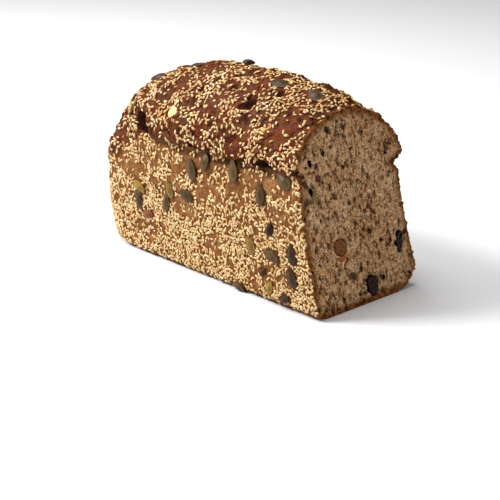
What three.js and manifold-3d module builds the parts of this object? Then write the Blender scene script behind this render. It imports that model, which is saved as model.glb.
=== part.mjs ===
// A muesli loaf baked in a tin and cut across, so that its crumb shows.
// Millimetres, +Z up. X runs along the loaf: the uncut heel is at -X and the knife's cut at +X.
// -Y is the side that shows most pumpkin seeds. The origin is under the middle of the loaf, on the table.
import * as THREE from "three";
import { mergeVertices } from "three/addons/utils/BufferGeometryUtils.js";
import Module from "manifold-3d";

// ---------------------------------------------------------------- driving dimensions
const LOAF_LENGTH = 220; // along the base, from the heel to the foot of the cut
const LOAF_WIDTH = 92; // between the walls that the tin shaped
const CROWN_HEIGHT = 134; // at the top of the dome
const WALL_HEIGHT = 79; // where the dough rose over the tin's rim
const WALL_RISE = 2.5; // the rim's line is this much higher at the cut
const HEEL_DROP = 25; // and this much lower at the heel, the uncut end
const HEEL_DROP_LENGTH = 49;
const HEEL_CORNER = 24; // radius of the upright corners at the heel
const HEEL_BULGE = 2;
const CUT_LEAN = THREE.MathUtils.degToRad(11); // the knife leaned back from upright

const CROWN_TOP_X = -4; // the dome is highest here
const CROWN_TOP_Y = 3;
const CROWN_BASE = 63; // the dome's curve starts from this height
const CROWN_REACH_HEEL = 122; // and would come down to it this far towards the heel
const CROWN_REACH_CUT = 188; // and this far the other way, beyond the cut
const CROWN_END_RADIUS = 21; // the dome's own end is rounded off over the heel

// The two sides differ: the near wall leans out and has a shallow crease under its lip. The far
// wall leans in, and a full roll of crust hangs over a deep crease there, a little lower than on
// the near side. The crown's own curve is told by two powers, one for how fast it comes in and one
// for how fast it goes up.
const NEAR_SIDE = {
  sign: -1, foot: 45.2, waist: 47.2, baseCorner: 6,
  creaseRise: 5, crease: 1.9, lip: 1.8, lipRise: 4.5,
  crownIn: { atHeel: 1, atCut: 1.28 }, crownUp: 1.08,
};
const FAR_SIDE = {
  sign: 1, foot: 46.6, waist: 42.6, baseCorner: 16,
  creaseRise: 0, crease: 6, lip: 3.9, lipRise: 5.4,
  crownIn: { atHeel: 1.2, atCut: 1.26 }, crownUp: 1.3,
};

const PUMPKIN_SEED = { length: 15.5, width: 8, thickness: 2.8 };
const SESAME_SEED = { length: 3.1, width: 1.9, thickness: 1.5 };
const OAT_FLAKE = { length: 7.5, width: 5.5, thickness: 1.6 };
const RAISIN_GAP = 0.35; // between a raisin and the crumb round it

const HALF_LENGTH = LOAF_LENGTH / 2;

// ---------------------------------------------------------------- small helpers
const { degToRad, lerp, clamp, smoothstep } = THREE.MathUtils;

// A repeatable stream of random numbers from 0 to 1.
function randomStream(seed) {
  let state = seed;
  return () => {
    state = (state * 1664525 + 1013904223) >>> 0;
    return state / 4294967296;
  };
}

// Slow swellings of the dough, from -1 to 1: waves that cross in several directions.
function doughSwell(x, y, z) {
  return (
    0.45 * Math.sin(0.11 * x + 0.05 * z + 1.3) * Math.cos(0.09 * y + 0.07 * z) +
    0.35 * Math.sin(0.19 * x - 0.13 * y + 0.6) * Math.cos(0.16 * z - 0.08 * y + 2.1) +
    0.2 * Math.sin(0.31 * x + 0.27 * y + 0.21 * z + 4.0)
  );
}

// ---------------------------------------------------------------- the baked loaf before the knife
// Height at which the wall ends and the lip begins. It sinks towards the heel, under the dome.
function wallHeight(x) {
  const fromHeel = x + HALF_LENGTH;
  const drop = HEEL_DROP * Math.max(0, 1 - fromHeel / HEEL_DROP_LENGTH);
  return WALL_HEIGHT + (WALL_RISE * fromHeel) / LOAF_LENGTH - drop;
}

// Height of the dome's ridge above the table.
function ridgeHeight(x) {
  const reach = x < CROWN_TOP_X ? CROWN_REACH_HEEL : CROWN_REACH_CUT;
  const away = (x - CROWN_TOP_X) / reach;
  const dome = CROWN_BASE + (CROWN_HEIGHT - CROWN_BASE) * (1 - away ** 2) ** 0.52;
  const toEnd = Math.max(0, 1 - (x + HALF_LENGTH) / CROWN_END_RADIUS);
  return lerp(wallHeight(x) + 2, dome, (1 - toEnd ** 2) ** 0.7);
}

// How much of the overhanging lip is there: none at the heel.
function lipShare(x) {
  return smoothstep(x, 25 - HALF_LENGTH, 55 - HALF_LENGTH);
}

// The lip's edge is torn, so it wanders up and down along the loaf.
function lipRaggedness(x, { sign }) {
  const wave = Math.sin(x / 7 + 2 * sign) + 0.6 * Math.sin(x / 3.7 - sign);
  return 0.9 * wave * lipShare(x);
}

// How far a surface stands back, at a distance in from an edge rounded to this radius.
function roundedEdge(radius, distance) {
  const left = radius - Math.min(radius, distance);
  return radius - Math.sqrt(radius ** 2 - left ** 2);
}

// One half of the loaf's section at x, as [y, z] from the middle of the base to the top of the dome.
function halfSection(x, side) {
  const share = lipShare(x);
  const fromHeel = x + HALF_LENGTH;
  const narrowing = 1 - roundedEdge(HEEL_CORNER, fromHeel) / (LOAF_WIDTH / 2);
  const lift = roundedEdge(NEAR_SIDE.baseCorner, fromHeel);
  const wall = wallHeight(x) + side.creaseRise * share;
  const ridge = ridgeHeight(x);
  const lipHeight = Math.min(wall + side.lipRise, lerp(wall, ridge, 0.4)) + lipRaggedness(x, side);
  const crownIn = lerp(side.crownIn.atHeel, side.crownIn.atCut, fromHeel / LOAF_LENGTH);
  const waist = side.waist * narrowing;
  const corner = side.baseCorner;
  const points = [[0.5 * (side.foot * narrowing - corner), lift]];
  for (const turn of [0, 30, 60, 90]) {
    const angle = degToRad(turn);
    const out = side.foot * narrowing - corner * (1 - Math.sin(angle));
    points.push([out, lift + corner * (1 - Math.cos(angle))]);
  }
  const wallFoot = lift + corner;
  for (const up of [0.35, 0.65, 0.92]) {
    const out = lerp(side.foot * narrowing, waist, Math.min(1, 1.6 * up));
    points.push([out, lerp(wallFoot, wall, up)]);
  }
  points.push([waist - side.crease * share, wall]);
  points.push([waist + 0.5 * side.lip * share, lerp(wall, lipHeight, 0.45)]);
  for (const turn of [0, 12, 24, 35, 46, 57, 67, 76, 84]) {
    const angle = degToRad(turn);
    const out = (waist + side.lip * share) * Math.cos(angle) ** crownIn;
    points.push([out, lerp(lipHeight, ridge, Math.sin(angle) ** side.crownUp)]);
  }
  return points.map(([out, height]) => {
    const leanOver = CROWN_TOP_Y * smoothstep(height, wall, ridge);
    return [side.sign * out + leanOver, height];
  });
}

// The whole section at x as a ring: up the near side, over the top and down the far side.
function sectionRing(x) {
  const near = halfSection(x, NEAR_SIDE);
  const far = halfSection(x, FAR_SIDE).reverse();
  const lift = roundedEdge(NEAR_SIDE.baseCorner, x + HALF_LENGTH);
  const ring = [[0, lift], ...near, [CROWN_TOP_Y, ridgeHeight(x)], ...far];
  return ring.map(([y, z]) => new THREE.Vector3(x, y, z));
}

// Where the sections stand: close together round the heel, then evenly to beyond the cut.
const HEEL_STATIONS = [0, 0.6, 2, 4.5, 8, 13, 20, 28, 37];
const STATION_STEP = 8;
const BEYOND_CUT = 12;
function stationPlaces() {
  const places = HEEL_STATIONS.map((step) => step - HALF_LENGTH);
  while (places.at(-1) < HALF_LENGTH + BEYOND_CUT) places.push(places.at(-1) + STATION_STEP);
  return places;
}

// Swells the surface outwards, most on the crown, and never the base that the loaf rests on.
const CROWN_SWELL = 1.6;
const WALL_SWELL = 0.7;
// Places where the loaf bulges more than the waves say, or less: x, y, z, reach and millimetres.
const BULGES = [
  [60, 10, 128, 16, 2.2], [88, 5, 124, 13, -4.6], [88, 24, 118, 8, -2.2], [86, -28, 114, 9, 2.6],
  [93, 45, 87, 7, 1.6], [106, 47, 17, 10, 2.2], [-88, -14, 110, 13, 1.3], [-99, -41, 4, 14, -3.6],
];
function swell(point, centre) {
  const above = smoothstep(point.z, 4, 16);
  const onCrown = smoothstep(point.z, wallHeight(point.x) - 4, wallHeight(point.x) + 12);
  let amount = above * lerp(WALL_SWELL, CROWN_SWELL, onCrown);
  amount *= doughSwell(point.x, point.y, point.z);
  for (const [x, y, z, reach, height] of BULGES) {
    const away = point.distanceTo(new THREE.Vector3(x, y, z)) / reach;
    amount += height * Math.exp(-(away ** 2));
  }
  const outwards = new THREE.Vector3(0, point.y - centre.y, point.z - centre.z).normalize();
  return point.addScaledVector(outwards, amount);
}

function loafGeometry() {
  const rings = stationPlaces().map((x) => {
    const centre = new THREE.Vector3(x, 0, 0.5 * wallHeight(x));
    return sectionRing(x).map((point) => swell(point, centre));
  });
  const count = rings[0].length;
  // The heel's flat end bulges a little: a smaller ring further out, and one point in its middle.
  const heelMiddle = new THREE.Vector3(-HALF_LENGTH - HEEL_BULGE, 0, 0.4 * WALL_HEIGHT);
  const bulgeRing = rings[0].map((point) => {
    const inner = point.clone().lerp(heelMiddle, 0.45);
    inner.x = -HALF_LENGTH - 0.8 * HEEL_BULGE;
    return inner;
  });
  rings.unshift(bulgeRing);
  const corners = rings.flat();
  const faces = [];
  for (let ring = 0; ring + 1 < rings.length; ring++)
    for (let i = 0; i < count; i++) {
      const a = ring * count + i;
      const b = ring * count + ((i + 1) % count);
      faces.push(a, a + count, b, b, a + count, b + count);
    }
  const heelPoint = corners.push(heelMiddle) - 1;
  const lastRing = (rings.length - 1) * count;
  const endMiddle = new THREE.Vector3(rings.at(-1)[0].x, 0, 0.5 * WALL_HEIGHT);
  const endPoint = corners.push(endMiddle) - 1;
  for (let i = 0; i < count; i++) {
    const next = (i + 1) % count;
    faces.push(heelPoint, i, next);
    faces.push(endPoint, lastRing + next, lastRing + i);
  }
  const geometry = new THREE.BufferGeometry().setFromPoints(corners);
  geometry.setIndex(faces);
  return geometry;
}

// ---------------------------------------------------------------- solids
const wasm = await Module();
wasm.setup();

function solidOf(geometry) {
  const bare = geometry.clone();
  bare.deleteAttribute("normal");
  bare.deleteAttribute("uv");
  const merged = mergeVertices(bare, 1e-4);
  return new wasm.Manifold(
    new wasm.Mesh({
      numProp: 3,
      vertProperties: new Float32Array(merged.attributes.position.array),
      triVerts: new Uint32Array(merged.index.array),
    }),
  );
}

function geometryOf(solid) {
  const mesh = solid.getMesh();
  const geometry = new THREE.BufferGeometry();
  geometry.setAttribute("position", new THREE.BufferAttribute(mesh.vertProperties, 3));
  geometry.setIndex(new THREE.BufferAttribute(mesh.triVerts, 1));
  geometry.computeVertexNormals();
  return geometry;
}

// ---------------------------------------------------------------- the knife
// The knife is a block whose face leans back. Its face is a grid with shallow waves from the
// sawing, and knobs that leave the larger pores open in the crumb.
const KNIFE = { depth: 60, width: 130, height: 170, across: 22, up: 28 };
const SAW_WAVE = 0.35;
const PORE_SHARE = 0.09;
const PORE_DEPTH = { least: 0.8, most: 2.4 };

function knifeGeometry() {
  const random = randomStream(11);
  const block = new THREE.BoxGeometry(
      KNIFE.depth, KNIFE.width, KNIFE.height, 1, KNIFE.across, KNIFE.up,
  );
  block.deleteAttribute("normal");
  block.deleteAttribute("uv");
  const knife = mergeVertices(block, 1e-4);
  const place = knife.attributes.position;
  for (let i = 0; i < place.count; i++) {
    if (place.getX(i) > 0) continue;
    let into = SAW_WAVE * Math.sin(0.21 * place.getZ(i) + 0.05 * place.getY(i));
    if (random() < PORE_SHARE) into += lerp(PORE_DEPTH.least, PORE_DEPTH.most, random());
    place.setX(i, place.getX(i) - into);
  }
  knife.translate(KNIFE.depth / 2, 0, KNIFE.height / 2 - 10);
  knife.rotateY(-CUT_LEAN);
  knife.translate(HALF_LENGTH, 0, 0);
  return knife;
}

// A point on the cut face, from its place across the loaf and its height, and the way it faces.
const CUT_FACING = new THREE.Vector3(Math.cos(CUT_LEAN), 0, Math.sin(CUT_LEAN));
function onCut(y, z) {
  return new THREE.Vector3(HALF_LENGTH - z * Math.tan(CUT_LEAN), y, z);
}

// ---------------------------------------------------------------- places on the crust
// A point on the crust at x, a share of the way along one side's section, with its outward normal.
function crustPoint(x, side, share) {
  const section = halfSection(x, side).slice(4);
  const lengths = [0];
  for (let i = 1; i < section.length; i++) {
    const [y0, z0] = section[i - 1];
    const [y1, z1] = section[i];
    lengths.push(lengths[i - 1] + Math.hypot(y1 - y0, z1 - z0));
  }
  const wanted = clamp(share, 0, 0.9999) * lengths.at(-1);
  const i = lengths.findIndex((length) => length > wanted) - 1;
  const part = (wanted - lengths[i]) / (lengths[i + 1] - lengths[i]);
  const y = lerp(section[i][0], section[i + 1][0], part);
  const z = lerp(section[i][1], section[i + 1][1], part);
  return swell(new THREE.Vector3(x, y, z), new THREE.Vector3(x, 0, 0.5 * wallHeight(x)));
}

function placeAtShare(x, side, share) {
  const here = crustPoint(x, side, share);
  const along = crustPoint(x + 1.5, side, share).sub(crustPoint(x - 1.5, side, share));
  const up = crustPoint(x, side, share + 0.012).sub(crustPoint(x, side, share - 0.012));
  const facing = along.cross(up).normalize().multiplyScalar(-side.sign);
  return { here, facing };
}

// The same, from a height above the table.
function placeAtHeight(x, side, height) {
  let low = 0;
  let high = 1;
  for (let step = 0; step < 18; step++) {
    const middle = (low + high) / 2;
    if (crustPoint(x, side, middle).z < height) low = middle;
    else high = middle;
  }
  return placeAtShare(x, side, low);
}

// ---------------------------------------------------------------- seeds
// A low lens with a rim of the given number of corners, pointed at one end.
function seedGeometry({ length, width, thickness }, corners) {
  const points = [new THREE.Vector3(-0.05 * length, 0, thickness / 2)];
  for (let i = 0; i < corners; i++) {
    const angle = (2 * Math.PI * i) / corners;
    const taper = 1 - 0.4 * Math.max(0, Math.cos(angle));
    const out = [0.5 * length * Math.cos(angle), 0.5 * width * Math.sin(angle) * taper];
    points.push(new THREE.Vector3(...out, 0));
  }
  points.push(new THREE.Vector3(0, 0, -thickness / 2));
  const last = points.length - 1;
  const faces = [];
  for (let i = 1; i <= corners; i++) {
    const next = (i % corners) + 1;
    faces.push(0, i, next, last, next, i);
  }
  const seed = new THREE.BufferGeometry().setFromPoints(points);
  seed.setIndex(faces);
  return seed;
}

// Lays a seed on the crust, turned about the way the crust faces there.
function laySeed(geometry, { here, facing }, turn, sunk) {
  const turned = new THREE.Quaternion().setFromAxisAngle(new THREE.Vector3(0, 0, 1), turn);
  const stood = new THREE.Quaternion().setFromUnitVectors(new THREE.Vector3(0, 0, 1), facing);
  const laid = geometry.clone();
  laid.applyQuaternion(stood.multiply(turned));
  laid.translate(...here.clone().addScaledVector(facing, -sunk).toArray());
  return solidOf(laid);
}

// Pumpkin seeds of the near side, as [x, height, turn in degrees].
const NEAR_PUMPKIN_SEEDS = [
  [-60, 49, 30], [-61, 38, 110], [-52, 31, 10], [-27, 54, 50], [-31, 44, 95], [-10, 54, 170],
  [-4, 73, 80], [9, 78, 95], [36, 78, 75], [61, 71, 92], [80, 81, 150],
  [69, 50, 40], [51, 35, 80], [71, 33, 175], [88, 38, 95], [88, 23, 100], [68, 11, 30],
];
// And of the crown, with the side of its ridge they lie on.
const CROWN_PUMPKIN_SEEDS = [
  [-74, NEAR_SIDE, 100, 60], [-80, NEAR_SIDE, 116, 10], [-51, NEAR_SIDE, 127, 20],
  [39, NEAR_SIDE, 131, 5], [67, NEAR_SIDE, 127, 170], [-30, FAR_SIDE, 122, 40],
  [12, FAR_SIDE, 112, 100], [52, FAR_SIDE, 118, 20], [-64, FAR_SIDE, 104, 130],
];
const STANDING_PUMPKIN_SEED = { x: -14, side: FAR_SIDE, height: 132, turn: 50, tilt: 65 };
const FAR_PUMPKIN_SEED_COUNT = 14;

function pumpkinSeeds() {
  const seed = seedGeometry(PUMPKIN_SEED, 9);
  const sunk = 0.25 * PUMPKIN_SEED.thickness;
  const random = randomStream(5);
  const seeds = NEAR_PUMPKIN_SEEDS.map(([x, height, turn]) =>
    laySeed(seed, placeAtHeight(x, NEAR_SIDE, height), degToRad(turn), sunk),
  );
  for (const [x, side, height, turn] of CROWN_PUMPKIN_SEEDS)
    seeds.push(laySeed(seed, placeAtHeight(x, side, height), degToRad(turn), sunk));
  const { x, side, height, turn, tilt } = STANDING_PUMPKIN_SEED;
  const standing = seed.clone().rotateX(degToRad(tilt));
  seeds.push(laySeed(standing, placeAtHeight(x, side, height), degToRad(turn), 0));
  for (let i = 0; i < FAR_PUMPKIN_SEED_COUNT; i++) {
    const along = lerp(-80, 85, (i + 0.8 * random()) / FAR_PUMPKIN_SEED_COUNT);
    const place = placeAtHeight(along, FAR_SIDE, lerp(14, 66, random()));
    seeds.push(laySeed(seed, place, Math.PI * random(), sunk));
  }
  return seeds;
}

// Sesame is scattered evenly: a jittered row of places up each side, along the whole loaf.
const SESAME_ROWS = { along: 15, up: 8 };
function sesameSeeds() {
  const seed = seedGeometry(SESAME_SEED, 6);
  const random = randomStream(23);
  const seeds = [];
  for (const side of [NEAR_SIDE, FAR_SIDE])
    for (let i = 0; i < SESAME_ROWS.along; i++)
      for (let j = 0; j < SESAME_ROWS.up; j++) {
        const x = lerp(-86, 82, (i + random()) / SESAME_ROWS.along);
        const share = lerp(0.04, 0.97, (j + random()) / SESAME_ROWS.up);
        seeds.push(laySeed(seed, placeAtShare(x, side, share), Math.PI * random(), 0.1));
      }
  return seeds;
}

// ---------------------------------------------------------------- torn places in the crust
// Hollows where the crust tore while it baked, as a height on one side and the hollow's length,
// width, depth and turn.
const TORN_PLACES = [
  { x: 31, side: NEAR_SIDE, height: 121, length: 15, width: 9, depth: 3.2, turn: 75 },
  { x: -57, side: NEAR_SIDE, height: 95, length: 26, width: 5, depth: 4.5, turn: -47 },
  { x: 1, side: NEAR_SIDE, height: 88, length: 11, width: 5, depth: 3.5, turn: 5 },
  { x: 65, side: NEAR_SIDE, height: 88, length: 9, width: 4.5, depth: 3, turn: 0 },
  { x: 25, side: FAR_SIDE, height: 108, length: 14, width: 5, depth: 3, turn: 120 },
];

function hollowSolid({ x, side, height, length, width, depth, turn }) {
  const hollow = new THREE.IcosahedronGeometry(1, 1);
  hollow.scale(length / 2, width / 2, depth);
  return laySeed(hollow, placeAtHeight(x, side, height), degToRad(turn), 0);
}

// ---------------------------------------------------------------- dried fruit at the cut
const FRUIT = {
  raisin_low: { y: 6.5, z: 10, size: [12, 8.5, 12.5], turn: 15 },
  raisin_side: { y: 35.5, z: 31, size: [12, 5, 13.5], turn: -4 },
  sultana: { y: -18, z: 40, size: [12, 8.5, 11], turn: 35 },
};

function fruitSolid({ y, z, size, turn }, extra) {
  const [deep, wide, tall] = size.map((side) => side / 2 + extra);
  const fruit = new THREE.SphereGeometry(1, 14, 9);
  fruit.scale(deep, wide, tall);
  fruit.rotateX(degToRad(turn));
  fruit.translate(...onCut(y, z).addScaledVector(CUT_FACING, -1.5).toArray());
  return solidOf(fruit);
}

// ---------------------------------------------------------------- assembly
const COLOURS = { crust: 0x8a5a33, raisin: 0x2e1712, sultana: 0x94602c };
function material(colour, roughness) {
  return new THREE.MeshStandardMaterial({ color: colour, roughness, metalness: 0 });
}

const knife = solidOf(knifeGeometry());
let loaf = solidOf(loafGeometry());
for (const seed of sesameSeeds()) loaf = loaf.add(seed);
for (const place of TORN_PLACES) loaf = loaf.subtract(hollowSolid(place));
for (const seed of pumpkinSeeds()) loaf = loaf.add(seed);
const flake = seedGeometry(OAT_FLAKE, 7);
loaf = loaf.add(laySeed(flake, placeAtHeight(-27, NEAR_SIDE, 106), 0.5, 0.1));
loaf = loaf.subtract(knife);

const group = new THREE.Group();
for (const [name, fruit] of Object.entries(FRUIT)) {
  loaf = loaf.subtract(fruitSolid(fruit, RAISIN_GAP));
  const cutFruit = fruitSolid(fruit, 0).subtract(knife);
  const look = name === "sultana" ? material(COLOURS.sultana, 0.45) : material(COLOURS.raisin, 0.4);
  const mesh = new THREE.Mesh(geometryOf(cutFruit), look);
  mesh.name = name;
  group.add(mesh);
}
const body = new THREE.Mesh(geometryOf(loaf), material(COLOURS.crust, 0.7));
body.name = "loaf";
group.add(body);

// The origin goes to the middle of the box round the whole loaf, at its foot.
const box = new THREE.Box3().setFromObject(group);
const middle = box.getCenter(new THREE.Vector3());
for (const mesh of group.children) mesh.geometry.translate(-middle.x, -middle.y, -box.min.z);

export default group;
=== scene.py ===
# %% [markdown]
# # A muesli loaf, cut across
# The loaf rose out of its tin while it baked. The tin left upright walls with rounded lower edges,
# and above its rim the dough spread into a lip and a dome. Sesame seeds cover the crust, with
# pumpkin seeds among them, and the knife's cut shows the crumb with raisins in it.
#
# The solid model that the frame loads already has the true size and form. Here that form is made
# again, fine enough to show crust and crumb, and every seed is laid on it as a real mesh.
# Lengths are in millimetres and are turned into Blender's metres where a mesh is made.

# %% Load the frame
import math
import random

import bmesh
import bpy
from mathutils import Matrix, Vector, noise
from mathutils.bvhtree import BVHTree


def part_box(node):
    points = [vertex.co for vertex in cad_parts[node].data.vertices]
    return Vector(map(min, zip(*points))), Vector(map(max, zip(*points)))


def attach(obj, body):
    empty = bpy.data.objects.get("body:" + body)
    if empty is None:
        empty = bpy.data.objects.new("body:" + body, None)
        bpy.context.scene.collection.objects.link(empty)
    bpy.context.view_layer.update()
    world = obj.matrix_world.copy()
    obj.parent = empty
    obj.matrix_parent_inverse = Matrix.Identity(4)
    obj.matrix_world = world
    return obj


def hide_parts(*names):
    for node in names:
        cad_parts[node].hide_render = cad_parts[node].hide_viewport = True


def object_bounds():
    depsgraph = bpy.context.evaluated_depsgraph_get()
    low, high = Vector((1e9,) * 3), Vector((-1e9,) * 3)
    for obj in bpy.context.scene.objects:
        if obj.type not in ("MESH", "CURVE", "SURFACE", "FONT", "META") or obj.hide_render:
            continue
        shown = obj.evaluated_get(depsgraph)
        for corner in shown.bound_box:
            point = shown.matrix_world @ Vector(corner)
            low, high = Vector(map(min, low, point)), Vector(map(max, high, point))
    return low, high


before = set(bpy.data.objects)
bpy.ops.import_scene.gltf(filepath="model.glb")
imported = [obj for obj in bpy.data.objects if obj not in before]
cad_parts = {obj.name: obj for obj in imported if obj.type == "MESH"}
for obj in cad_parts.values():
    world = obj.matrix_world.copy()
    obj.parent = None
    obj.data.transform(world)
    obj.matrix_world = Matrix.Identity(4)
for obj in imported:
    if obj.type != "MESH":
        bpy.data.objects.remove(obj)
solid_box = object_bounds()
MM = 0.001
print("solid loaf, mm:", [round((high - low) / MM) for low, high in zip(*solid_box)])

# %% [markdown]
# ## The driving sizes
# A loaf is easy to describe by a few lengths: how long, wide and high it is, where the wall ends
# and the dome begins, and how round its corners are. Everything later is worked out from them.
# The two long sides differ, as they do on a real loaf: the near one has a shallow crease under
# its lip, and on the far one a thick roll of crust hangs over a deep crease.

# %% Sizes of the loaf, in millimetres
LOAF_LENGTH = 220
LOAF_WIDTH = 92
CROWN_HEIGHT = 134
WALL_HEIGHT = 79
WALL_RISE = 2.5
HEEL_DROP = 25
HEEL_DROP_LENGTH = 49
HEEL_CORNER = 24
HEEL_BULGE = 2
CUT_LEAN = math.radians(11)
CROWN_TOP_X = -4
CROWN_TOP_Y = 3
CROWN_BASE = 63
CROWN_REACH_HEEL = 122
CROWN_REACH_CUT = 188
CROWN_END_RADIUS = 21

NEAR_SIDE = dict(
    sign=-1, foot=45.2, waist=47.2, corner=6, crease_rise=5, crease=1.9, lip=1.8, lip_rise=4.5,
    crown_in_at_heel=1.0, crown_in_at_cut=1.28, crown_up=1.08,
)
FAR_SIDE = dict(
    sign=1, foot=46.6, waist=42.6, corner=16, crease_rise=0, crease=6, lip=3.9, lip_rise=5.4,
    crown_in_at_heel=1.2, crown_in_at_cut=1.26, crown_up=1.3,
)

# Dried fruit at the cut: where its middle lies across the loaf and above the table, how deep,
# wide and tall it is, and its turn in degrees.
FRUIT = dict(
    raisin_low=dict(y=6.5, z=10, size=(12, 8.5, 12.5), turn=15),
    raisin_side=dict(y=35.5, z=31, size=(12, 5, 13.5), turn=-4),
    sultana=dict(y=-18, z=40, size=(12, 8.5, 11), turn=35),
)

# The loaf's own middle is not quite the middle of the box round it, because it bulges unevenly.
# The heel tells where it is along the loaf, and the solid's lower raisin where it is across.
raisin_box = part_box("raisin_low")
MIDDLE_X = solid_box[0].x / MM + HEEL_BULGE + LOAF_LENGTH / 2
MIDDLE_Y = (raisin_box[0].y + raisin_box[1].y) / 2 / MM - FRUIT["raisin_low"]["y"]
print("middle of the loaf, mm:", round(MIDDLE_X, 2), round(MIDDLE_Y, 2))


def at(x, y, z):
    """A place on the loaf, in millimetres from its middle, as a point in the scene."""
    return Vector((x + MIDDLE_X, y + MIDDLE_Y, z)) * MM


# %% [markdown]
# ## Helpers
# Blender's operators act on what is selected, so most mistakes come from something that was left
# selected. These helpers see to it that exactly one thing is selected before anything is done.


# %% Adding, selecting, finishing and measuring
def new_piece(primitive, name, **settings):
    """Adds one of Blender's primitives with nothing else selected, and names it."""
    bpy.ops.object.select_all(action="DESELECT")
    primitive(**settings)
    piece = bpy.context.active_object
    piece.name = name
    return piece


def only(thing):
    """Selects this object alone and makes it active."""
    if bpy.context.object and bpy.context.object.mode != "OBJECT":
        bpy.ops.object.mode_set(mode="OBJECT")
    bpy.ops.object.select_all(action="DESELECT")
    thing.select_set(True)
    bpy.context.view_layer.objects.active = thing
    return thing


def settle(thing):
    """Moves the object's place, turn and scale into its mesh."""
    only(thing)
    bpy.ops.object.transform_apply(location=True, rotation=True, scale=True)
    return thing


def apply_modifiers(thing):
    only(thing)
    for modifier in list(thing.modifiers):
        bpy.ops.object.modifier_apply(modifier=modifier.name)


def edit_whole(thing):
    """Enters edit mode with the thing's whole mesh selected."""
    only(thing)
    bpy.ops.object.mode_set(mode="EDIT")
    bpy.ops.mesh.select_all(action="SELECT")


def face_outwards():
    """Turns every face of the mesh in edit mode outwards, and leaves edit mode."""
    bpy.ops.mesh.select_all(action="SELECT")
    bpy.ops.mesh.normals_make_consistent(inside=False)
    bpy.ops.object.mode_set(mode="OBJECT")


def flatten_underside(thing):
    """Presses what would poke through the table flat against it."""
    for vertex in thing.data.vertices:
        vertex.co.z = max(0.0, vertex.co.z)


def smoothstep(value, low, high):
    share = min(1.0, max(0.0, (value - low) / (high - low)))
    return share * share * (3 - 2 * share)


def blend(low, high, share):
    return low + (high - low) * share


def triangles(thing):
    return sum(len(face.vertices) - 2 for face in thing.data.polygons)


def set_attribute(thing, name, values):
    """Stores one number for each vertex, which materials and scatters then read by name."""
    attribute = thing.data.attributes.get(name)
    if attribute is None:
        attribute = thing.data.attributes.new(name, "FLOAT", "POINT")
    attribute.data.foreach_set("value", values)


# %% [markdown]
# ## The camera
# The picture was taken with a long lens, from the right-hand near corner and a little above.
# Rather than place a camera by eye, one known point is enough once the direction is known: the
# foot of the cut's near edge. The camera stands back from it along the line of sight, and moves
# sideways until that point falls on its pixel.

# %% Camera
CAMERA_AZIMUTH = math.radians(47.06)
CAMERA_ELEVATION = math.radians(19.9)
FOCAL_PIXELS = 1300
IMAGE_SIDE = 500
SENSOR_WIDTH = 36
FOOT_Y = -45.5
FOOT_OF_CUT = at(LOAF_LENGTH / 2, FOOT_Y, 0)
FOOT_PIXEL = Vector((317.9, 322.5))
CAMERA_DISTANCE = 0.793

bpy.ops.object.camera_add(rotation=(math.pi / 2 - CAMERA_ELEVATION, 0, CAMERA_AZIMUTH))
camera = bpy.context.active_object
camera.name = "camera"
camera.data.sensor_width = SENSOR_WIDTH
camera.data.lens = SENSOR_WIDTH * FOCAL_PIXELS / IMAGE_SIDE
bpy.context.view_layer.update()
right, up, back = (camera.matrix_world.to_3x3().col[i] for i in range(3))
off_centre = (FOOT_PIXEL - Vector((IMAGE_SIDE, IMAGE_SIDE)) / 2) / FOCAL_PIXELS
camera.location = FOOT_OF_CUT + CAMERA_DISTANCE * (back - off_centre.x * right + off_centre.y * up)
bpy.context.scene.camera = camera
print("camera at", [round(c, 3) for c in camera.location])

# %% [markdown]
# ## The loaf's section
# Slice a loaf anywhere and you see the same outline, only wider or higher: base, rounded lower
# edge, wall, crease, lip and dome. This cell writes that outline as a function of the place
# along the loaf. It is the drawing that the skin is then pulled along.


# %% Outline of a section
DOME_ROUNDNESS = 0.52
END_ROUNDNESS = 0.7
LIP_STARTS = 25
LIP_FULL = 55


def wall_height(x):
    drop = HEEL_DROP * max(0, 1 - (x + LOAF_LENGTH / 2) / HEEL_DROP_LENGTH)
    return WALL_HEIGHT + WALL_RISE * (x / LOAF_LENGTH + 0.5) - drop


def ridge_height(x):
    reach = CROWN_REACH_HEEL if x < CROWN_TOP_X else CROWN_REACH_CUT
    away = (x - CROWN_TOP_X) / reach
    dome = CROWN_BASE + (CROWN_HEIGHT - CROWN_BASE) * (1 - away**2) ** DOME_ROUNDNESS
    to_end = max(0, 1 - (x + LOAF_LENGTH / 2) / CROWN_END_RADIUS)
    return blend(wall_height(x) + 2, dome, (1 - to_end**2) ** END_ROUNDNESS)


def lip_share(x):
    """How much of the overhanging lip is there: none at the heel."""
    return smoothstep(x, LIP_STARTS - LOAF_LENGTH / 2, LIP_FULL - LOAF_LENGTH / 2)


def lip_raggedness(x, sign):
    wave = math.sin(x / 7 + 2 * sign) + 0.6 * math.sin(x / 3.7 - sign)
    return 0.9 * wave * lip_share(x)


def rounded_edge(radius, distance):
    """How far a surface stands back, at a distance in from an edge rounded to this radius."""
    left = radius - min(radius, distance)
    return radius - math.sqrt(radius**2 - left**2)


CORNER_TURNS = [0, 18, 36, 54, 72, 90]
WALL_STEPS = [0.12, 0.24, 0.36, 0.48, 0.6, 0.72, 0.83, 0.93]
CROWN_TURNS = [0, 4, 8] + list(range(13, 88, 4))


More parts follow.
